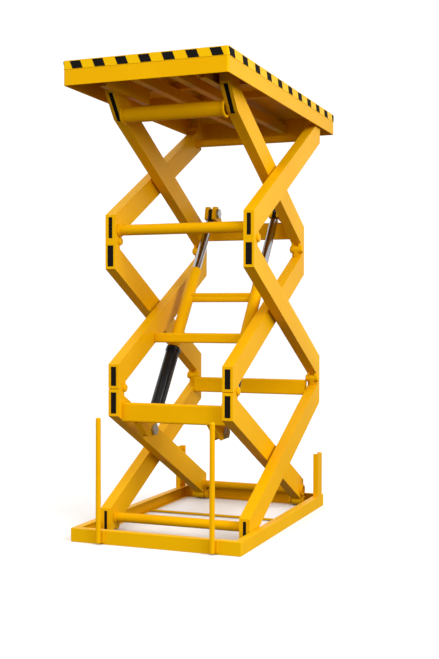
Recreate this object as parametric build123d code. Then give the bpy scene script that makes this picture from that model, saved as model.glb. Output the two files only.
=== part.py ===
from build123d import *
import os
from math import atan2, cos, degrees, hypot, radians, sin, tan

# Triple scissor lift table, shown fully raised.  All lengths are millimetres.
# +X is the right-hand side, +Y the rear (the end with the fixed pivots), +Z up.
# The origin is on the floor, under the middle of the platform.

# ---------------------------------------------------------------- driving sizes
raised_height = 2750.0          # floor to platform surface
platform_length = 2140.0
platform_width = 1000.0
platform_depth = 140.0          # skirt from its lower edge to the platform surface
edge_band_height = 50.0         # lighter warning band around the top of the skirt
edge_band_proud = 1.5           # how far the band stands out from the skirt
deck_thickness = 8.0
skirt_thickness = 6.0

base_width = 1052.0
base_front = -936.0
base_rear = 730.0
rail_height = 80.0
rail_depth = 44.0               # width of the rail flanges
rail_wall = 6.0

tube_height = 140.0             # scissor arm section, in the plane of the fold
tube_width = 66.0               # scissor arm section, across the table
tube_wall = 6.0
outer_plane = 412.0             # inboard face of the outer arms
inner_plane = 329.0             # inboard face of the inner arms
arm_angles = [26.3, 27.5, 28.5]  # slope of the arms of each stage when raised, degrees
end_inset = 64.0                # joint pin to the cut end of an arm
low_front_inset = 80.0          # the same at the lower front joints

centre_y = 45.0                 # all three crossing pins stand in one line
cross_z = [418.0, 1341.0, 2190.0]
span_base = 605.0               # half distance between the two base pivots
span_lower = 680.0              # half distance between the lower joints
span_upper = 575.0              # half distance between the upper joints
span_top = 690.0                # half distance between the platform pivots
base_pivot_z = 36.0
top_pivot_z = 2650.0

joint_pin_r = 14.0
centre_pin_r = 18.0
pivot_pin_r = 14.0
running_fit = 0.05
side_gap = 0.4                  # between cheeks that turn against each other
ear_r_lower = 22.5              # rounded ears that carry the lower joint pins
ear_r_upper = 26.5
ear_cheek = 17.0                # thickness of the two outside ears at a joint
seam_drop = 22.0                # how far the seam between two stages falls from pin to end face

cylinder_x = 235.0              # the two hydraulic cylinders stand either side of centre
cylinder_low = (-470.0, 618.0)  # eye centre on the front beam, as (y, z)
cylinder_high = (552.0, 2021.0)
barrel_r = 43.0
sleeve_r = 38.0
rod_r = 28.0
eye_r = 35.0
eye_bore_r = 23.0               # wide of the bolt, which shifts in it as the table folds
clevis_bolt_r = 10.5
low_eye_half = 12.0             # half thickness of the eye at the foot of a cylinder
low_gap = 14.0                  # eye centre plane to the inside of a lower clevis plate
low_plate = 8.0
high_eye_half = 13.0            # the same three sizes at the rod ends
high_gap = 15.0
high_plate = 24.0

# ---------------------------------------------------------------- derived points
lower_z = (cross_z[0] + cross_z[1]) / 2
upper_z = (cross_z[1] + cross_z[2]) / 2
base_roller = (centre_y - span_base, base_pivot_z)
base_pivot = (centre_y + span_base, base_pivot_z)
lower_front = (centre_y - span_lower, lower_z)
lower_rear = (centre_y + span_lower, lower_z)
upper_front = (centre_y - span_upper, upper_z)
upper_rear = (centre_y + span_upper, upper_z)
top_roller = (centre_y - span_top, top_pivot_z)
top_pivot = (centre_y + span_top, top_pivot_z)
centres = [(centre_y, z) for z in cross_z]

slopes = [tan(radians(a)) for a in arm_angles]
half_rises = [tube_height / 2 / cos(radians(a)) for a in arm_angles]

OUT = "parts"
os.makedirs(OUT, exist_ok=True)


# ---------------------------------------------------------------- helpers
def save(name, shape):
    """Write one node as its own STEP file."""
    shape.label = name
    export_step(shape, f"{OUT}/{name}.step")


def group(shapes):
    """Several separate solids kept together as one node."""
    return Compound(children=list(shapes))


def prism(points, x0, x1):
    """Solid with a profile given as (y, z) points, running along X from x0 to x1."""
    face = make_face(Polyline(*points, close=True))
    return extrude(Plane.YZ.offset(x0) * face, amount=x1 - x0)


def bar(centre, radius, x0, x1):
    """Round bar along X, centred on a (y, z) point."""
    disc = Pos(centre[0], centre[1]) * Circle(radius)
    return extrude(Plane.YZ.offset(x0) * disc, amount=x1 - x0)


def collar(centre, radius, bore, x0, x1):
    """Round bar along X with a hole through it."""
    return bar(centre, radius, x0, x1) - bar(centre, bore, x0 - 1, x1 + 1)


def block(x0, x1, y0, y1, z0, z1):
    """Rectangular block between two opposite corners."""
    return Pos((x0 + x1) / 2, (y0 + y1) / 2, (z0 + z1) / 2) * Box(x1 - x0, y1 - y0, z1 - z0)


def mirrored(shape):
    """The same piece on the other side of the table."""
    return mirror(shape, about=Plane.YZ)


def point_on(start, end, distance):
    """Point at a distance from start towards end, in (y, z)."""
    length = hypot(end[0] - start[0], end[1] - start[1])
    return (start[0] + (end[0] - start[0]) * distance / length,
            start[1] + (end[1] - start[1]) * distance / length)


def edge_z(stage, rise, side, y):
    """Height of the upper (side +1) or lower (side -1) edge of an arm at y."""
    return cross_z[stage] + rise * slopes[stage] * (y - centre_y) + side * half_rises[stage]


def tube_face(stage, rise, y0, y1, inset):
    """Slanted strip in (y, z): the side view of an arm, shrunk by inset."""
    drop = inset / cos(radians(arm_angles[stage]))
    return [(y0, edge_z(stage, rise, -1, y0) + drop), (y1, edge_z(stage, rise, -1, y1) + drop),
            (y1, edge_z(stage, rise, 1, y1) - drop), (y0, edge_z(stage, rise, 1, y0) - drop)]


def ear_profile(pin, stage, rise, radius):
    """Web from an arm's axis out to a joint pin, ending in a rounded ear."""
    angle = radians(arm_angles[stage])
    u = (cos(angle), rise * sin(angle))
    axis_z = cross_z[stage] + rise * slopes[stage] * (pin[0] - centre_y)
    toward = 1 if pin[1] > axis_z else -1
    n = (-u[1] * toward, u[0] * toward)
    reach = abs(pin[1] - axis_z) * cos(angle) - tube_height / 2 + tube_wall
    foot = (pin[0] - n[0] * reach, pin[1] - n[1] * reach)
    return [(pin[0] - u[0] * radius, pin[1] - u[1] * radius),
            (pin[0] + u[0] * radius, pin[1] + u[1] * radius),
            (foot[0] + u[0] * radius * 1.5, foot[1] + u[1] * radius * 1.5),
            (foot[0] - u[0] * radius * 1.5, foot[1] - u[1] * radius * 1.5)]


def ear(pin, stage, rise, radius, x0, x1, trim=None):
    """Rounded ear on an arm between two X planes, not yet bored, its web cut back by trim."""
    web = prism(ear_profile(pin, stage, rise, radius), x0, x1)
    if trim:
        web = web - trim
    return web + bar(pin, radius, x0, x1)


# ---------------------------------------------------------------- scissor arms
def slot_prism(corner_a, corner_b, inward, depth_from, depth_to, x0, width):
    """Block behind a cut end face: used for the slot in the end wall and for its plug."""
    length = hypot(corner_b[0] - corner_a[0], corner_b[1] - corner_a[1])
    a = point_on(corner_a, corner_b, slot_margin)
    b = point_on(corner_a, corner_b, length - slot_margin)
    profile = [(a[0] + inward[0] * depth_from, a[1] + inward[1] * depth_from),
               (b[0] + inward[0] * depth_from, b[1] + inward[1] * depth_from),
               (b[0] + inward[0] * depth_to, b[1] + inward[1] * depth_to),
               (a[0] + inward[0] * depth_to, a[1] + inward[1] * depth_to)]
    middle = x0 + tube_width / 2
    return prism(profile, middle - width / 2, middle + width / 2)


def end_faces(stage, rise, clip):
    """Top and bottom corners of the two cut ends of an arm, with the inward direction."""
    y_front = clip["front"]
    y_rear = clip["rear"]
    front = ((y_front, min(edge_z(stage, rise, 1, y_front), clip["top"])),
             (y_front, max(edge_z(stage, rise, -1, y_front), clip["bottom"])))
    rear = ((y_rear, min(edge_z(stage, rise, 1, y_rear), clip["top"])),
            (y_rear, max(edge_z(stage, rise, -1, y_rear), clip["bottom"])))
    return [(front[0], front[1], (1, 0)), (rear[0], rear[1], (-1, 0))]


def arm_body(stage, rise, x0, clip):
    """Hollow rectangular tube with closed ends, cut to its clip box."""
    far = 1500.0
    cut = [(clip["front"], clip["bottom"]), (clip["rear"], clip["bottom"]),
           (clip["rear"], clip["top"]), (clip["front"], clip["top"])]
    inner = [(clip["front"] + end_wall, clip["bottom"] + tube_wall),
             (clip["rear"] - end_wall, clip["bottom"] + tube_wall),
             (clip["rear"] - end_wall, clip["top"] - tube_wall),
             (clip["front"] + end_wall, clip["top"] - tube_wall)]
    x1 = x0 + tube_width
    outside = prism(tube_face(stage, rise, -far, far, 0), x0, x1) & prism(cut, x0, x1)
    hollow = (prism(tube_face(stage, rise, -far, far, tube_wall), x0 + tube_wall, x1 - tube_wall)
              & prism(inner, x0, x1))
    return outside, hollow


slot_widths = {"outer1": 20.0, "inner1": 36.0, "outer2": 40.0,
               "inner2": 35.0, "outer3": 26.0, "inner3": 26.0}
slot_margin = 15.0
end_wall = 10.0
plug_recess = 2.0
centre_boss_r = 34.0
pivot_boss_r = 27.0
floor_clear = 8.0
blind_wall = 8.0                # tube wall left closed over the centre pins

clips = {
    "outer1": {"front": -655.0, "rear": lower_rear[0] + end_inset,
               "bottom": floor_clear, "top": lower_z - side_gap},
    "inner1": {"front": lower_front[0] - low_front_inset, "rear": 686.0,
               "bottom": floor_clear, "top": lower_z - side_gap},
    "outer2": {"front": upper_front[0] - end_inset, "rear": lower_rear[0] + end_inset,
               "bottom": lower_z + side_gap, "top": upper_z - side_gap},
    "inner2": {"front": lower_front[0] - low_front_inset, "rear": upper_rear[0] + end_inset,
               "bottom": lower_z + side_gap, "top": upper_z - side_gap},
    "outer3": {"front": upper_front[0] - end_inset, "rear": top_pivot[0] + 45.0,
               "bottom": upper_z + side_gap, "top": raised_height},
    "inner3": {"front": -767.0, "rear": upper_rear[0] + end_inset,
               "bottom": upper_z + side_gap, "top": raised_height},
}
arm_rise = {"outer1": 1, "inner1": -1, "outer2": -1, "inner2": 1, "outer3": 1, "inner3": -1}
arm_stage = {"outer1": 0, "inner1": 0, "outer2": 1, "inner2": 1, "outer3": 2, "inner3": 2}

# the front ends of the top inner arms are cut along a raking face
rake_low = (-628.0, 2461.0)
rake_high = (-767.0, 2633.0)

middle_ears = {"outer1": (lower_rear, ear_r_lower), "inner1": (lower_front, ear_r_lower),
               "outer2": (upper_front, ear_r_upper), "inner2": (upper_rear, ear_r_upper)}
cheek_ears = {"outer2": (lower_rear, ear_r_lower), "inner2": (lower_front, ear_r_lower),
              "outer3": (upper_front, ear_r_upper), "inner3": (upper_rear, ear_r_upper)}
end_pivots = {"outer1": base_roller, "inner1": base_pivot,
              "outer3": top_pivot, "inner3": top_roller}

# the two arms that meet at each joint, and the cut end face that both share
joints = {
    "lower_front": (lower_front, "inner1", "inner2", lower_front[0] - low_front_inset),
    "lower_rear": (lower_rear, "outer1", "outer2", lower_rear[0] + end_inset),
    "upper_front": (upper_front, "outer2", "outer3", upper_front[0] - end_inset),
    "upper_rear": (upper_rear, "inner2", "inner3", upper_rear[0] + end_inset),
}
pocket_gap = 0.6                # room round an ear where it turns inside the other arm's end


def seam(pin, face_y, shift):
    """Line from a joint pin to the shared end face that parts the two arms, moved by shift."""
    return [(pin[0], pin[1] + shift), (face_y, pin[1] - seam_drop + shift)]


def filled_end(pin, face_y, stage, rise, is_lower, x0, x1):
    """Solid that closes an arm's end between its edge and the seam, and what lies past the seam."""
    side = 1 if is_lower else -1
    line = seam(pin, face_y, -side * side_gap / 2)
    inside = []
    for y, z in reversed(line):
        depth = max(side * (z - edge_z(stage, rise, side, y)) + tube_wall, tube_wall)
        inside.append((y, z - side * depth))
    far = [(y, z + side * tube_height) for y, z in reversed(line)]
    return prism(line + inside, x0, x1), prism(line + far, x0 - 1, x1 + 1)


for frame, stage in arm_stage.items():
    rise = arm_rise[frame]
    x0 = outer_plane if frame.startswith("outer") else inner_plane
    x1 = x0 + tube_width
    clip = clips[frame]
    outside, hollow = arm_body(stage, rise, x0, clip)
    faces = end_faces(stage, rise, clip)
    if frame == "inner3":
        beyond = [rake_low, rake_high, (rake_high[0], raised_height), (-1500.0, raised_height),
                  (-1500.0, rake_low[1] - 300), (rake_low[0], rake_low[1] - 300)]
        outside = outside - prism(beyond, x0 - 1, x1 + 1)
        run = hypot(rake_high[0] - rake_low[0], rake_high[1] - rake_low[1])
        inward = ((rake_high[1] - rake_low[1]) / run, (rake_low[0] - rake_high[0]) / run)
        shifted = [(y + inward[0] * end_wall, z + inward[1] * end_wall) for y, z in beyond]
        hollow = hollow - prism(shifted, x0 - 1, x1 + 1)
        faces[0] = (rake_high, rake_low, inward)
    arm = outside - hollow
    past_seam = {}
    for pin, lower_frame, upper_frame, face_y in joints.values():
        if frame not in (lower_frame, upper_frame):
            continue
        fill, beyond = filled_end(pin, face_y, stage, rise, frame == lower_frame, x0, x1)
        past_seam[pin] = beyond
        arm = arm + fill - beyond
        if frame == lower_frame:
            radius = cheek_ears[upper_frame][1] + pocket_gap
            arm = arm - bar(pin, radius, x0 - 1, x0 + ear_cheek + side_gap)
            arm = arm - bar(pin, radius, x1 - ear_cheek - side_gap, x1 + 1)
        else:
            radius = middle_ears[lower_frame][1] + pocket_gap
            arm = arm - bar(pin, radius, x0 + ear_cheek, x1 - ear_cheek)
    solid_bosses = [bar(centres[stage], centre_boss_r, x0, x1)]
    if frame in end_pivots:
        pin = end_pivots[frame]
        solid_bosses.append(ear(pin, stage, rise, pivot_boss_r, x0, x1))
    if frame in middle_ears:
        pin, radius = middle_ears[frame]
        gap = ear_cheek + side_gap
        solid_bosses.append(ear(pin, stage, rise, radius, x0 + gap, x1 - gap, past_seam[pin]))
    if frame in cheek_ears:
        pin, radius = cheek_ears[frame]
        trim = past_seam[pin]
        solid_bosses.append(ear(pin, stage, rise, radius, x0, x0 + ear_cheek, trim))
        solid_bosses.append(ear(pin, stage, rise, radius, x1 - ear_cheek, x1, trim))
    for boss in solid_bosses:
        arm = arm + boss
    # centre pin: blind holes in both arms, tight in the outer one and running in the inner one
    if frame.startswith("outer"):
        arm = arm - bar(centres[stage], centre_pin_r, x0 - 1, x1 - blind_wall)
    else:
        arm = arm - bar(centres[stage], centre_pin_r + running_fit, x0 + blind_wall, x1 + 1)
    if frame in middle_ears:
        arm = arm - bar(middle_ears[frame][0], joint_pin_r + running_fit, x0 - 1, x1 + 1)
    if frame in cheek_ears:
        arm = arm - bar(cheek_ears[frame][0], joint_pin_r, x0 - 1, x1 + 1)
    if frame in ("inner1", "outer3"):
        arm = arm - bar(end_pivots[frame], pivot_pin_r + running_fit, x0 - 1, x1 + 1)
    if frame == "outer1":
        arm = arm - bar(base_roller, pivot_pin_r, x0 + blind_wall, x1 + 1)
    if frame == "inner3":
        arm = arm - bar(top_roller, pivot_pin_r, x0 - 1, x1 - blind_wall)
    frame_plugs = []
    for high, low, inward in faces:
        arm = arm - slot_prism(high, low, inward, -1, end_wall, x0, slot_widths[frame])
        frame_plugs.append(slot_prism(high, low, inward, plug_recess, end_wall, x0,
                                      slot_widths[frame]))
    save(f"{frame}_arm_right", arm)
    save(f"{frame}_arm_left", mirrored(arm))
    save(f"{frame}_end_plugs", group(frame_plugs + [mirrored(p) for p in frame_plugs]))

# ---------------------------------------------------------------- cross members
brace_r = 29.0
brace_wall = 5.0
upper_brace_r = 33.0
boss_ring_r = 38.0
boss_ring_width = 12.0
beam_depth = 36.0
beam_height = 116.0
beam_wall = 5.0
beam_corner = 12.0


def cross_tube(centre, radius, half_span, ring_r):
    """Round tube between two arms with a weld ring at each end."""
    tube = collar(centre, radius, radius - brace_wall, -half_span, half_span)
    ring = collar(centre, ring_r, radius, half_span - boss_ring_width, half_span)
    return tube + ring + mirrored(ring)


def cross_beam(centre, depth, height, half_span, tilt=0.0):
    """Rectangular tube between two arms."""
    outside = RectangleRounded(depth, height, beam_corner)
    outside = outside - RectangleRounded(depth - 2 * beam_wall, height - 2 * beam_wall,
                                         beam_corner - beam_wall)
    placed = Pos(centre[0], centre[1]) * Rot(0, 0, tilt) * outside
    return extrude(Plane.YZ.offset(-half_span) * placed, amount=2 * half_span)


front_brace = (-581.0, 89.0)
rear_brace = (634.0, 112.0)
upper_brace = (upper_front[0] - 5.0, upper_z + 67.0)
top_rear_brace = (top_pivot[0] - 25.0, top_pivot_z - 105.0)
top_front_brace = (-650.0, 2505.0)
front_beam = (lower_front[0] - 15.0, lower_z - 143.0)
rear_beam = (upper_rear[0] + 15.0, upper_z + 129.5)
rear_low_beam = (lower_rear[0] - 50.0, lower_z - 62.0)
rung = (-195.0, 1172.0)

save("outer1_front_tube", cross_tube(front_brace, brace_r, outer_plane, boss_ring_r))
save("outer1_rear_beam", cross_beam(rear_low_beam, 50.0, 105.0, outer_plane))
ring_outboard = collar(rear_brace, boss_ring_r, brace_r, inner_plane + tube_width,
                       outer_plane - side_gap)
save("inner1_rear_tube", group([cross_tube(rear_brace, 25.0, inner_plane, boss_ring_r - 4),
                                ring_outboard, mirrored(ring_outboard)]))
save("inner2_cross_rung", cross_beam(rung, 40.0, 62.0, inner_plane))
save("outer3_front_tube", cross_tube(upper_brace, upper_brace_r, outer_plane, boss_ring_r + 2))
save("outer3_rear_tube", cross_tube(top_rear_brace, 28.0, outer_plane, boss_ring_r - 2))
save("inner3_front_tube", cross_tube(top_front_brace, 46.0, inner_plane, 54.0))


# the two beams that carry the cylinders, each with two pairs of clevis plates
bolt_head_r = 31.0 / cos(radians(30))
bolt_head_thick = 18.0
nut_r = 24.0
low_nut_thick = 14.0
high_nut_thick = 8.0


def clevis_pair(profile, pin, gap, thick):
    """Plates either side of both cylinder eyes, bored for the clevis bolts."""
    plates = []
    for side in (-1, 1):
        for offset in (-gap - thick, gap):
            x0 = side * cylinder_x + offset
            plate = prism(profile, x0, x0 + thick)
            plates.append(plate - bar(pin, clevis_bolt_r, x0 - 1, x0 + thick + 1))
    return plates


def clevis_bolts(pin, reach, nut_thick):
    """Bolt with a hexagon head and a nut through each pair of clevis plates."""
    bolts = []
    hexagon = Pos(*pin) * RegularPolygon(bolt_head_r, 6)
    nut_hexagon = Pos(*pin) * RegularPolygon(nut_r, 6)
    for side in (-1, 1):
        x0 = side * cylinder_x
        head = extrude(Plane.YZ.offset(x0 + reach) * hexagon, amount=bolt_head_thick)
        nut = extrude(Plane.YZ.offset(x0 - reach - nut_thick) * nut_hexagon, amount=nut_thick)
        bolts.append(bar(pin, clevis_bolt_r, x0 - reach - 1, x0 + reach + 1) + head + nut)
    return group(bolts)


beam_low = front_beam[1] - beam_height / 2
bracket_bottom = cylinder_low[1] - 40.0
bracket_front = cylinder_low[0] - 86.0
bracket_rear = cylinder_low[0] + 55.0
low_profile = [(front_beam[0] - 16, beam_low), (front_beam[0] + 18, beam_low),
               (front_beam[0] + 18, beam_low + 30), (cylinder_low[0] - 40, beam_low + 8),
               (bracket_rear - 12, cylinder_low[1] + 34), (bracket_rear, cylinder_low[1] + 10),
               (bracket_rear, bracket_bottom + 4), (bracket_front + 16, bracket_bottom),
               (bracket_front, bracket_bottom + 14), (front_beam[0] - 4, beam_low - 6)]
front_wall = [(front_beam[0] - 4, beam_low - 6), (bracket_front, bracket_bottom + 14),
              (bracket_front + 8, bracket_bottom + 14), (front_beam[0] + 8, beam_low - 2)]
beam_top = rear_beam[1] + beam_height / 2
high_profile = [(rear_beam[0] + 18, beam_top - 20), (rear_beam[0] - 18, beam_top - 20),
                (rear_beam[0] - 18, beam_top), (cylinder_high[0] - 50, cylinder_high[1] - 40),
                (cylinder_high[0] - 38, cylinder_high[1] + 28),
                (cylinder_high[0] - 24, cylinder_high[1] + 48),
                (cylinder_high[0] + 18, cylinder_high[1] + 48),
                (cylinder_high[0] + 38, cylinder_high[1] + 22), (rear_beam[0] + 18, beam_top)]
front_beam_solid = cross_beam(front_beam, beam_depth, beam_height, inner_plane)
rear_beam_solid = cross_beam(rear_beam, beam_depth, beam_height, inner_plane)
for plate in clevis_pair(low_profile, cylinder_low, low_gap, low_plate):
    front_beam_solid = front_beam_solid + plate
for plate in clevis_pair(high_profile, cylinder_high, high_gap, high_plate):
    rear_beam_solid = rear_beam_solid + plate
for x in (-cylinder_x, cylinder_x):
    front_beam_solid = front_beam_solid + prism(front_wall, x - low_gap - 1, x + low_gap + 1)
save("inner1_front_beam", front_beam_solid)
save("inner3_rear_beam", rear_beam_solid)
save("inner1_clevis_bolts", clevis_bolts(cylinder_low, low_gap + low_plate, low_nut_thick))
save("inner3_clevis_bolts", clevis_bolts(cylinder_high, high_gap + high_plate, high_nut_thick))

# ---------------------------------------------------------------- pins
pin_head_r = 25.0
pin_head = 13.0                 # a joint pin's rounded heads stand out both sides of the arms


def domed_head(centre, x, toward):
    """Low rounded head of a joint pin, on the face of an arm at x."""
    head = bar(centre, pin_head_r, min(x, x + toward * pin_head), max(x, x + toward * pin_head))
    rim = head.edges().filter_by(GeomType.CIRCLE).sort_by(Axis.X)
    return fillet(rim[-1] if toward > 0 else rim[0], pin_head - 3.0)


def joint_pin(centre, x0):
    """Pin through the ears of both arms, with a rounded head at each end."""
    shaft = bar(centre, joint_pin_r, x0 - 1, x0 + tube_width + 1)
    return shaft + domed_head(centre, x0, -1) + domed_head(centre, x0 + tube_width, 1)


def centre_pin(centre):
    """Pin fixed in the outer arm, turning in the inner arm, with a collar between them."""
    shaft = bar(centre, centre_pin_r, inner_plane + blind_wall + 1,
                outer_plane + tube_width - blind_wall)
    spacer = bar(centre, 28.0, inner_plane + tube_width + 0.3, outer_plane)
    return shaft + spacer


def both_sides(shapes):
    return group(shapes + [mirrored(s) for s in shapes])


rail_inner_x = base_width / 2 - rail_wall
roller_pin = bar(base_roller, pivot_pin_r, outer_plane + blind_wall, rail_inner_x - 1.0)
track_web_x = 282.0
top_roller_pin = bar(top_roller, pivot_pin_r, track_web_x + rail_wall + 1.0,
                     inner_plane + tube_width - blind_wall)
save("outer1_pins", both_sides([centre_pin(centres[0]), roller_pin]))
save("outer2_pins", both_sides([centre_pin(centres[1]), joint_pin(lower_rear, outer_plane)]))
save("outer3_pins", both_sides([centre_pin(centres[2]), joint_pin(upper_front, outer_plane)]))
save("inner2_joint_pins", both_sides([joint_pin(lower_front, inner_plane)]))
save("inner3_pins", both_sides([joint_pin(upper_rear, inner_plane), top_roller_pin]))

# ---------------------------------------------------------------- rollers
roller_r = 29.7
roller_width = 28.0
base_roller_x = rail_inner_x - 3.0 - roller_width
top_roller_x = track_web_x + rail_wall + 3.0
base_wheel = collar(base_roller, roller_r, pivot_pin_r + running_fit,
                    base_roller_x, base_roller_x + roller_width)
top_wheel = collar(top_roller, roller_r, pivot_pin_r + running_fit,
                   top_roller_x, top_roller_x + roller_width)
save("base_roller_right", base_wheel)
save("base_roller_left", mirrored(base_wheel))
save("platform_roller_right", top_wheel)
save("platform_roller_left", mirrored(top_wheel))

# ---------------------------------------------------------------- base frame
half_base = base_width / 2
rail_in = half_base - rail_depth


def side_channel(web_x, toward, y0, y1, z0, z1):
    """Channel along Y with its web at web_x and its flanges pointing along toward."""
    web = block(min(web_x, web_x + toward * rail_wall), max(web_x, web_x + toward * rail_wall),
                y0, y1, z0, z1)
    tip = web_x + toward * rail_depth
    x0, x1 = min(web_x, tip), max(web_x, tip)
    return web + block(x0, x1, y0, y1, z0, z0 + rail_wall) + block(x0, x1, y0, y1, z1 - rail_wall, z1)


side_y0 = base_front + rail_depth
side_y1 = base_rear - 32.0
right_rail = side_channel(half_base, -1, side_y0, side_y1, 0, rail_height)
save("base_rail_right", right_rail)
save("base_rail_left", mirrored(right_rail))
front_rail = (block(-half_base, half_base, base_front, base_front + rail_depth, 0, rail_height)
              - block(-half_base + rail_wall, half_base - rail_wall, base_front + rail_wall,
                      base_front + rail_depth - rail_wall, rail_wall, rail_height - rail_wall))
save("base_rail_front", front_rail)
rear_rail = (block(-half_base, half_base, side_y1, base_rear, 0, rail_height)
             - block(-half_base + rail_wall, half_base - rail_wall, side_y1 - 1,
                     base_rear - rail_wall, rail_wall, rail_height - rail_wall))
save("base_rail_rear", rear_rail)
save("base_tie_rod", bar((60.0, 11.0), 8.0, -rail_in, rail_in))

post_top = 730.0
post_r = 15.0
post_left = -335.0              # the posts stand under the front ends of the top inner arms
post_right = 366.0
post_y = base_front - 22.0
saddle_low = 12.0
saddle_half = 29.0
saddle_proud = 12.0             # plate that carries a post, ahead of the front rail


def rest_post(x):
    """Round post with a domed top, standing on the front rail against a saddle plate."""
    rod = Pos(x, post_y, (saddle_low + post_top) / 2) * Cylinder(post_r, post_top - saddle_low)
    rod = fillet(rod.edges().filter_by(GeomType.CIRCLE).group_by(Axis.Z)[-1], post_r * 0.6)
    saddle = block(x - saddle_half, x + saddle_half, base_front - saddle_proud, base_front,
                   saddle_low, rail_height)
    return (saddle + rod) - front_rail


save("rest_posts", group([rest_post(post_left), rest_post(post_right)]))

upright_top = 372.0
upright_front = 590.0
upright_rear = 690.0
upright_wall = 6.0
upright_flange = 34.0
upright = (block(half_base - upright_wall, half_base, upright_front, upright_rear, rail_height, upright_top)
           + block(half_base - upright_flange, half_base, upright_front,
                   upright_front + upright_wall, rail_height, upright_top)
           + block(half_base - upright_flange, half_base, upright_rear - upright_wall,
                   upright_rear, rail_height, upright_top))
save("rear_uprights", both_sides([upright]))

bracket_plates = []
for x0, x1 in ((inner_plane - 22.0, inner_plane - 10.0), (inner_plane + tube_width + 3.0,
                                                         outer_plane - 3.0)):
    plate = (block(x0, x1, base_pivot[0], side_y1 + 26.0, 9.0, 63.0)
             + bar(base_pivot, pivot_boss_r, x0, x1))
    bracket_plates.append(plate - bar(base_pivot, pivot_pin_r, x0 - 1, x1 + 1))
save("rear_pivot_brackets", both_sides(bracket_plates))
save("rear_pivot_pins", both_sides([bar(base_pivot, pivot_pin_r, inner_plane - 26.0,
                                        outer_plane - 3.0)]))

# ---------------------------------------------------------------- platform
half_len = platform_length / 2
half_wid = platform_width / 2
deck_low = raised_height - deck_thickness
skirt_low = raised_height - platform_depth
band_low = raised_height - edge_band_height
skirt_x = half_wid - edge_band_proud
skirt_y = half_len - edge_band_proud
corner_r = 12.0


def rounded_block(half_x, half_y, z0, z1, radius):
    """Upright block centred on the table with rounded corners."""
    outline = RectangleRounded(2 * half_x, 2 * half_y, radius)
    return extrude(Plane.XY.offset(z0) * outline, amount=z1 - z0)


save("platform_deck", rounded_block(skirt_x, skirt_y, deck_low, raised_height, corner_r))
skirt = (rounded_block(skirt_x, skirt_y, skirt_low, deck_low, corner_r)
         - rounded_block(skirt_x - skirt_thickness, skirt_y - skirt_thickness,
                         skirt_low - 1, deck_low + 1, corner_r - skirt_thickness))
save("platform_skirt", skirt)
band = (rounded_block(half_wid, half_len, band_low, raised_height, corner_r + edge_band_proud)
        - rounded_block(skirt_x, skirt_y, band_low - 1, raised_height + 1, corner_r))
save("platform_edge_band", band)

mark_proud = 0.8
mark_margin = 4.0
mark_height = 44.0
mark_lean = 18.0
front_marks = 7
front_mark_width = 66.0
front_mark_start = -457.0
front_pitch = 141.0
side_marks = 11
side_mark_width = 82.0
side_mark_start = -1068.0
side_pitch = 208.0
mark_z1 = raised_height - mark_margin
mark_z0 = mark_z1 - mark_height


def mark_outline(start, width, limit):
    """Leaning stripe block between two heights, cut off at the end of the face."""
    low_start = min(start + mark_lean, limit)
    return [(low_start, mark_z0), (min(low_start + width, limit), mark_z0),
            (min(start + width, limit), mark_z1), (start, mark_z1)]


marks = []
for i in range(front_marks):
    outline = mark_outline(front_mark_start + front_pitch * i, front_mark_width, half_wid)
    face = make_face(Polyline(*outline, close=True))
    front_mark = extrude(Plane.XZ.offset(half_len) * face, amount=mark_proud)
    marks += [front_mark, mirror(front_mark, about=Plane.XZ)]
mark_limit = half_len - corner_r
for i in range(side_marks):
    outline = mark_outline(side_mark_start + side_pitch * i, side_mark_width, mark_limit)
    side_mark = prism(outline, half_wid, half_wid + mark_proud)
    marks += [side_mark, mirrored(side_mark)]
save("platform_hazard_marks", group(marks))

rib_low = 2700.0
rib_wall = 5.0
rib_half = 25.0
cross_rib_y = (-990.0, -340.0, 60.0)
long_rib_x = 120.0
long_rib_low = 2640.0
long_rib_front = -970.0
skirt_in = skirt_x - skirt_thickness


def cross_rib(y0, y1):
    """Channel across the platform, open towards the deck it is welded to."""
    outside = block(-skirt_in, skirt_in, y0, y1, rib_low, deck_low)
    return outside - block(-skirt_in - 1, skirt_in + 1, y0 + rib_wall, y1 - rib_wall,
                           rib_low + rib_wall, deck_low + 1)


def long_rib(x):
    """Channel along the platform, welded under the cross ribs."""
    y1 = skirt_y - skirt_thickness
    outside = block(x - rib_half, x + rib_half, long_rib_front, y1, long_rib_low, rib_low)
    return outside - block(x - rib_half + rib_wall, x + rib_half - rib_wall,
                           long_rib_front - 1, y1 + 1, long_rib_low + rib_wall, rib_low + 1)


ribs = [cross_rib(y - 20, y + 20) for y in cross_rib_y]
ribs += [long_rib(x) for x in (-long_rib_x, long_rib_x)]
save("platform_ribs", group(ribs))

track = side_channel(track_web_x, 1, -955.0, -380.0, top_pivot_z - 36.0, top_pivot_z + 36.0)
track_hanger = block(track_web_x, track_web_x + rail_wall, -955.0, -380.0, top_pivot_z + 36.0, deck_low)
save("platform_tracks", both_sides([track + track_hanger]))

top_plates = []
for x0, x1 in ((inner_plane + tube_width + 3.0, outer_plane - 3.0),
               (outer_plane + tube_width + 3.0, skirt_x - skirt_thickness)):
    plate = (block(x0, x1, top_pivot[0] - 27.0, top_pivot[0] + 27.0, top_pivot_z, deck_low)
             + bar(top_pivot, pivot_boss_r, x0, x1))
    top_plates.append(plate - bar(top_pivot, pivot_pin_r, x0 - 1, x1 + 1))
save("platform_pivot_brackets", both_sides(top_plates))
save("platform_pivot_pins", both_sides([bar(top_pivot, pivot_pin_r, inner_plane + tube_width + 3.0,
                                            skirt_x - skirt_thickness)]))

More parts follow.
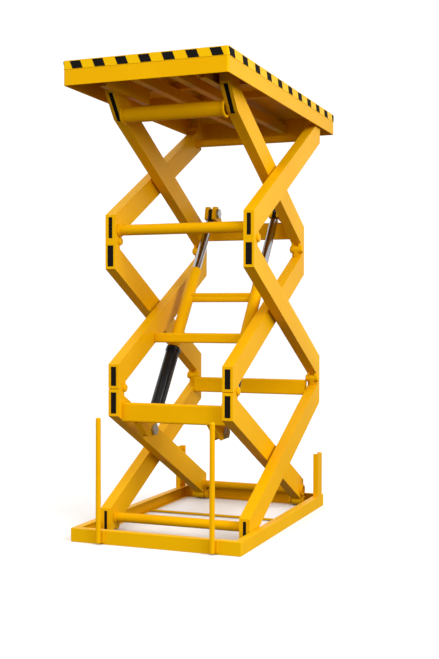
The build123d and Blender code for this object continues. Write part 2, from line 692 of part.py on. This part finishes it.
# ---------------------------------------------------------------- hydraulic cylinders
axis_run = (cylinder_high[0] - cylinder_low[0], cylinder_high[1] - cylinder_low[1])
axis_length = hypot(*axis_run)
axis_angle = degrees(atan2(axis_run[1], axis_run[0]))
barrel_start = 84.0
barrel_end = 597.0
sleeve_start = 517.0
sleeve_end = 1237.0
rod_start = 1157.0
rod_neck = 84.0                # flat between the rod and its eye
gland_length = 26.0
sleeve_wall = 5.0
barrel_wall = 4.5


def along_axis(x, start, length, radius, bore=0.0):
    """Round piece along the cylinder axis, from a distance above the lower eye."""
    base = Location((x, cylinder_low[0], cylinder_low[1]), (axis_angle - 90.0, 0, 0))
    piece = base * Pos(0, 0, start + length / 2) * Cylinder(radius, length)
    if bore:
        piece = piece - base * Pos(0, 0, start + length / 2) * Cylinder(bore, length + 2)
    return piece


def eye(x, centre, half):
    """Flat ring round a clevis bolt."""
    return collar(centre, eye_r, eye_bore_r, x - half, x + half)


barrels, sleeves, rods, eyes = [], [], [], []
for x in (-cylinder_x, cylinder_x):
    barrel = along_axis(x, barrel_start, barrel_end - barrel_start, barrel_r, barrel_r - barrel_wall)
    foot = along_axis(x, eye_r - 8.0, barrel_start - eye_r + 14.0, barrel_r)
    foot = foot & block(x - low_eye_half, x + low_eye_half, -2000, 2000, 0, 3000)
    end_cap = along_axis(x, barrel_start, 12.0, barrel_r - 1.0)
    gland = along_axis(x, barrel_end - gland_length, gland_length, barrel_r + 4.0, sleeve_r + 0.5)
    hole = bar(cylinder_low, eye_r - 1.0, x - 60, x + 60)
    barrels.append(barrel + end_cap + (foot - hole) + gland + eye(x, cylinder_low, low_eye_half))
    sleeve = along_axis(x, sleeve_start, sleeve_end - sleeve_start, sleeve_r, sleeve_r - sleeve_wall)
    cap = along_axis(x, sleeve_end - 20.0, 20.0, sleeve_r, rod_r + 0.5)
    sleeves.append(sleeve + cap)
    rod_end = axis_length - rod_neck
    rods.append(along_axis(x, rod_start, rod_end - rod_start, rod_r))
    lug = along_axis(x, rod_end, rod_neck - eye_r + 4.0, rod_r)
    lug = lug & block(x - high_eye_half, x + high_eye_half, -2000, 2000, 0, 3000)
    hole = bar(cylinder_high, eye_r - 1.0, x - 60, x + 60)
    eyes.append((lug - hole) + eye(x, cylinder_high, high_eye_half))
save("cylinder_barrels", group(barrels))
save("cylinder_rods", group(rods))
save("cylinder_rod_eyes", group(eyes))
tie_at = point_on(cylinder_low, cylinder_high, (1430.0 - cylinder_low[1]) / sin(radians(axis_angle)))
tie = cross_beam(tie_at, 36.0, 61.0, cylinder_x)
for x in (-cylinder_x, cylinder_x):
    tie = tie - along_axis(x, sleeve_start, sleeve_end - sleeve_start, sleeve_r)
save("cylinder_sleeves", group(sleeves))
save("cylinder_tie_rung", tie)
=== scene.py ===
import math

import bpy
from mathutils import Matrix, Vector

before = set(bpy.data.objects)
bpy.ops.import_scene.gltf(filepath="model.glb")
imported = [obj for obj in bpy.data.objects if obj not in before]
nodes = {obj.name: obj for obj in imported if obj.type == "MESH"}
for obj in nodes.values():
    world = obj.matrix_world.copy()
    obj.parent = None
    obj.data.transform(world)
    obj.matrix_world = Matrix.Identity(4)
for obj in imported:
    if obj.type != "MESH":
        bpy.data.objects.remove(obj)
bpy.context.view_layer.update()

# ------------------------------------------------------------------ sizes, in metres
ARM_ROUNDING = 0.007
BEAM_ROUNDING = 0.004
RAIL_ROUNDING = 0.0025
PLAIN_ROUNDING = 0.0015
OWN_ROUNDING = {"platform_deck": 0.003, "platform_skirt": 0.003, "platform_edge_band": 0.0022,
                "platform_hazard_marks": 0.0002, "rest_posts": 0.005, "base_tie_rod": 0.001}
ROUNDED_ABOVE = math.radians(38)    # edges sharper than this are rounded
WELD_DISTANCE = 0.00001
FLOOR_HALF = 400.0                  # wide enough that its edge is never seen
PEEL_DEPTH = 0.0006
WAVE_DEPTH = 0.002
GRAIN_DEPTH = 0.0004

# texture scales, in waves per metre
DRIFT_SCALE = 3.2
ROUGHNESS_SCALE = 14.0
WAVE_SCALE = 34.0
PEEL_SCALE = 260.0
SPECK_SCALE = 420.0


# ------------------------------------------------------------------ material helpers
class Graph:
    """Node tree with short calls that add nodes and link them by socket name."""

    def __init__(self, tree):
        self.tree = tree
        tree.nodes.clear()

    def add(self, kind, **values):
        node = self.tree.nodes.new(kind)
        for key, value in values.items():
            if key in node.inputs:
                node.inputs[key].default_value = value
            else:
                setattr(node, key, value)
        return node

    def link(self, source, output, target, socket):
        self.tree.links.new(source.outputs[output], target.inputs[socket])


def ramp(graph, stops):
    """Colour ramp from (position, colour) stops."""
    node = graph.add("ShaderNodeValToRGB")
    elements = node.color_ramp.elements
    while len(elements) < len(stops):
        elements.new(0.5)
    for element, (position, colour) in zip(elements, stops):
        element.position = position
        element.color = colour if len(colour) == 4 else (*colour, 1.0)
    return node


def grey(value):
    return (value, value, value, 1.0)


def noise(graph, coords, scale, detail=3.0, roughness=0.55):
    """Noise texture in the object's own coordinates."""
    node = graph.add("ShaderNodeTexNoise", Scale=scale, Detail=detail, Roughness=roughness)
    graph.link(coords, "Object", node, "Vector")
    return node


def mix_colour(graph, factor, a, b):
    """Mix from a to b by a (node, output) factor; a and b are colours or (node, output) pairs."""
    node = graph.add("ShaderNodeMix", data_type="RGBA")
    graph.tree.links.new(factor[0].outputs[factor[1]], node.inputs[0])
    colour_a, colour_b, colour_out = 6, 7, 2    # the sockets that a colour mix uses
    for socket, value in ((colour_a, a), (colour_b, b)):
        if isinstance(value, tuple) and isinstance(value[0], bpy.types.Node):
            graph.tree.links.new(value[0].outputs[value[1]], node.inputs[socket])
        else:
            node.inputs[socket].default_value = (*value, 1.0) if len(value) == 3 else value
    return node, colour_out


def new_material(name):
    """Material with a Principled shader; returns it with its graph, shader and coordinates."""
    material = bpy.data.materials.new(name)
    material.use_nodes = True
    graph = Graph(material.node_tree)
    output = graph.add("ShaderNodeOutputMaterial")
    shader = graph.add("ShaderNodeBsdfPrincipled")
    graph.link(shader, "BSDF", output, "Surface")
    coords = graph.add("ShaderNodeTexCoord")
    return material, graph, shader, coords


def vary_roughness(graph, source, shader, limits):
    """Roughness that follows a noise between two limits."""
    spread = graph.add("ShaderNodeMapRange")
    spread.inputs["To Min"].default_value = limits[0]
    spread.inputs["To Max"].default_value = limits[1]
    graph.link(source, "Fac", spread, "Value")
    graph.link(spread, "Result", shader, "Roughness")


def enamel(name, colour, deep, light, peel=0.10, gloss=(0.34, 0.46), tint=(1.0, 0.62, 0.02),
           specular=0.14, index=1.3):
    """Sprayed enamel on steel: slow colour drift, orange peel, dust specks and a painted highlight that
    makes convex edges paler.
    """
    material, graph, shader, coords = new_material(name)
    drift = noise(graph, coords, DRIFT_SCALE, 4.0)
    drift_ramp = ramp(graph, [(0.30, grey(0.0)), (0.72, grey(1.0))])
    graph.link(drift, "Fac", drift_ramp, "Fac")
    base = mix_colour(graph, (drift_ramp, "Color"), deep, colour)
    # painted highlight: convex edges (found by pointiness) are mixed towards the paler light colour
    edge = graph.add("ShaderNodeNewGeometry")
    edge_ramp = ramp(graph, [(0.515, grey(0.0)), (0.60, grey(0.55))])
    graph.link(edge, "Pointiness", edge_ramp, "Fac")
    edge_highlight = mix_colour(graph, (edge_ramp, "Color"), base, light)
    specks = noise(graph, coords, SPECK_SCALE, 2.0)
    speck_ramp = ramp(graph, [(0.27, grey(0.35)), (0.33, grey(0.0))])
    graph.link(specks, "Fac", speck_ramp, "Fac")
    dirty = mix_colour(graph, (speck_ramp, "Color"), edge_highlight, tuple(c * 0.55 for c in deep))
    graph.tree.links.new(dirty[0].outputs[dirty[1]], shader.inputs["Base Color"])
    vary_roughness(graph, noise(graph, coords, ROUGHNESS_SCALE, 5.0), shader, gloss)
    peel_noise = noise(graph, coords, PEEL_SCALE, 2.0, 0.4)
    waves = noise(graph, coords, WAVE_SCALE, 3.0)
    peel_bump = graph.add("ShaderNodeBump", Strength=peel, Distance=PEEL_DEPTH)
    graph.link(peel_noise, "Fac", peel_bump, "Height")
    wave_bump = graph.add("ShaderNodeBump", Strength=peel * 0.7, Distance=WAVE_DEPTH)
    graph.link(waves, "Fac", wave_bump, "Height")
    graph.link(peel_bump, "Normal", wave_bump, "Normal")
    graph.link(wave_bump, "Normal", shader, "Normal")
    shader.inputs["Specular Tint"].default_value = (*tint, 1.0)
    shader.inputs["Specular IOR Level"].default_value = specular
    shader.inputs["IOR"].default_value = index
    return material


def metal(name, colour, dark, scale, stretch, gloss, bump=0.05):
    """Turned, drawn or plated steel with fine grain along one direction."""
    material, graph, shader, coords = new_material(name)
    mapping = graph.add("ShaderNodeMapping")
    mapping.inputs["Scale"].default_value = stretch
    graph.link(coords, "Object", mapping, "Vector")
    grain = graph.add("ShaderNodeTexNoise", Scale=scale, Detail=6.0)
    graph.link(mapping, "Vector", grain, "Vector")
    grain_ramp = ramp(graph, [(0.32, dark), (0.68, colour)])
    graph.link(grain, "Fac", grain_ramp, "Fac")
    graph.link(grain_ramp, "Color", shader, "Base Color")
    vary_roughness(graph, grain, shader, gloss)
    bumps = graph.add("ShaderNodeBump", Strength=bump, Distance=GRAIN_DEPTH)
    graph.link(grain, "Fac", bumps, "Height")
    graph.link(bumps, "Normal", shader, "Normal")
    shader.inputs["Metallic"].default_value = 1.0
    return material


# ------------------------------------------------------------------ finishes
WARM_BLACKS = ((0.006, 0.0045, 0.004), (0.004, 0.003, 0.003), (0.02, 0.018, 0.016))
yellow = enamel("yellow_enamel", (0.78, 0.39, 0.0008), (0.73, 0.345, 0.0006), (0.88, 0.52, 0.005))
# the edge band is the same paint as the rest; this paler copy paints the light that its upward-leaning
# face catches
lit_band_yellow = enamel("edge_band_lit_enamel", (0.82, 0.46, 0.0015), (0.78, 0.42, 0.001), (0.90, 0.58, 0.01))
black_paint = enamel("black_enamel", (0.007, 0.007, 0.008), (0.005, 0.005, 0.006), (0.04, 0.04, 0.04),
                     peel=0.02, gloss=(0.17, 0.22), tint=(1.0, 1.0, 1.0), specular=0.3, index=1.45)
mark_black = enamel("mark_black", *WARM_BLACKS, gloss=(0.5, 0.65), tint=(1.0, 0.9, 0.8), specular=0.04)
plug_black = enamel("plug_black", *WARM_BLACKS, peel=0.25, gloss=(0.5, 0.7), tint=(1.0, 0.9, 0.8),
                    specular=0.06)
chrome = metal("hard_chrome", (0.44, 0.45, 0.48), (0.36, 0.37, 0.40), 60.0, (1, 1, 8), (0.12, 0.20))
zinc = metal("zinc_plate", (0.52, 0.52, 0.50), (0.33, 0.33, 0.32), 90.0, (1, 1, 1), (0.28, 0.5), 0.2)
roller_steel = metal("roller_steel", (0.45, 0.45, 0.45), (0.3, 0.3, 0.3), 120.0, (6, 1, 1), (0.25, 0.45))


def finish_of(name):
    """Material of a CAD node: yellow enamel, except for the few parts that the table has in others, and
    the edge band, which gets a paler copy of the yellow as painted light.
    """
    if name.endswith("end_plugs"):
        return plug_black
    if name == "platform_edge_band":
        return lit_band_yellow
    if name == "platform_hazard_marks":
        return mark_black
    if name in ("cylinder_barrels", "cylinder_rod_eyes"):
        return black_paint
    if name == "cylinder_rods":
        return chrome
    if name.endswith("clevis_bolts"):
        return zinc
    if "_roller_" in name:
        return roller_steel
    return yellow


def rounding_of(name):
    """How far the edges of a CAD node are rounded."""
    if "_arm_" in name:
        return ARM_ROUNDING
    if name.startswith("base_rail") or name == "rear_uprights":
        return RAIL_ROUNDING
    if "beam" in name or "rung" in name:
        return BEAM_ROUNDING
    return OWN_ROUNDING.get(name, PLAIN_ROUNDING)


# ------------------------------------------------------------------ the CAD nodes
for name, node in nodes.items():
    node.data.materials.clear()
    node.data.materials.append(finish_of(name))
    weld = node.modifiers.new("merge", "WELD")
    weld.merge_threshold = WELD_DISTANCE
    bevel = node.modifiers.new("round_edges", "BEVEL")
    bevel.width = rounding_of(name)
    bevel.segments = 2
    bevel.limit_method = "ANGLE"
    bevel.angle_limit = ROUNDED_ABOVE
    bevel.miter_outer = "MITER_ARC"
    for polygon in node.data.polygons:
        polygon.use_smooth = True
    even = node.modifiers.new("flat_faces", "WEIGHTED_NORMAL")
    even.mode = "FACE_AREA"
    even.weight = 100
    even.keep_sharp = False

# ------------------------------------------------------------------ stage, light, camera
floor_mesh = bpy.data.meshes.new("floor")
floor_corners = [(FLOOR_HALF * x, FLOOR_HALF * y, 0) for x, y in ((-1, -1), (1, -1), (1, 1), (-1, 1))]
floor_mesh.from_pydata(floor_corners, [], [(0, 1, 2, 3)])
floor = bpy.data.objects.new("floor", floor_mesh)
bpy.context.scene.collection.objects.link(floor)
floor_material, floor_graph, floor_shader, floor_coords = new_material("pale_floor")
floor_noise = noise(floor_graph, floor_coords, 2.0)
floor_ramp = ramp(floor_graph, [(0.3, grey(0.955)), (0.7, grey(0.97))])
floor_graph.link(floor_noise, "Fac", floor_ramp, "Fac")
floor_graph.link(floor_ramp, "Color", floor_shader, "Base Color")
floor_shader.inputs["Roughness"].default_value = 0.9
floor_shader.inputs["Specular IOR Level"].default_value = 0.0
floor.data.materials.append(floor_material)
floor.visible_diffuse = False
floor.visible_glossy = False

world = bpy.data.worlds.new("studio")
bpy.context.scene.world = world
world.use_nodes = True
sky = Graph(world.node_tree)
sky_output = sky.add("ShaderNodeOutputWorld")
background = sky.add("ShaderNodeBackground", Strength=1.1)
sky.link(background, "Background", sky_output, "Surface")
sky_coords = sky.add("ShaderNodeTexCoord")
sky_split = sky.add("ShaderNodeSeparateXYZ")
sky.link(sky_coords, "Generated", sky_split, "Vector")
sky_range = sky.add("ShaderNodeMapRange")
sky_range.inputs["From Min"].default_value = -1.0
sky.link(sky_split, "Z", sky_range, "Value")
# dark below the horizon, so that undersides don't reflect white; 0.5 is the horizon itself
sky_ramp = ramp(sky, [(0.0, grey(0.10)), (0.44, grey(0.16)), (0.49, grey(1.0)), (1.0, grey(1.0))])
sky.link(sky_range, "Result", sky_ramp, "Fac")
sky.link(sky_ramp, "Color", background, "Color")


TABLE_MIDDLE = (0, 0, 1.4)


def area_light(name, place, size, power):
    """Rectangular soft light that looks at the middle of the table."""
    data = bpy.data.lights.new(name, "AREA")
    data.shape = "RECTANGLE"
    data.size, data.size_y = size
    data.energy = power
    light = bpy.data.objects.new(name, data)
    light.location = place
    direction = Vector(TABLE_MIDDLE) - Vector(place)
    light.rotation_euler = direction.to_track_quat("-Z", "Y").to_euler()
    bpy.context.scene.collection.objects.link(light)


area_light("key", (7.0, -3.0, 4.5), (4.0, 5.0), 500.0)
area_light("front", (-2.0, -8.0, 4.0), (4.0, 4.0), 150.0)

CAMERA_PLACE = (2.4868, -6.3153, 1.3339)
CAMERA_DIRECTION = (-0.36182, 0.93211, -0.01635)
CAMERA_ROLL = 0.002

camera_data = bpy.data.cameras.new("camera")
camera_data.sensor_width = 36.0
camera_data.lens = 57.58
camera = bpy.data.objects.new("camera", camera_data)
forward = Vector(CAMERA_DIRECTION).normalized()
level = forward.cross(Vector((0, 0, 1))).normalized()
upward = level.cross(forward)
right = level * math.cos(CAMERA_ROLL) + upward * math.sin(CAMERA_ROLL)
upward = right.cross(forward)
turn = Matrix((right, upward, -forward)).transposed()
camera.matrix_world = Matrix.Translation(CAMERA_PLACE) @ turn.to_4x4()
bpy.context.scene.collection.objects.link(camera)
bpy.context.scene.camera = camera
bpy.context.scene.view_settings.view_transform = "Standard"
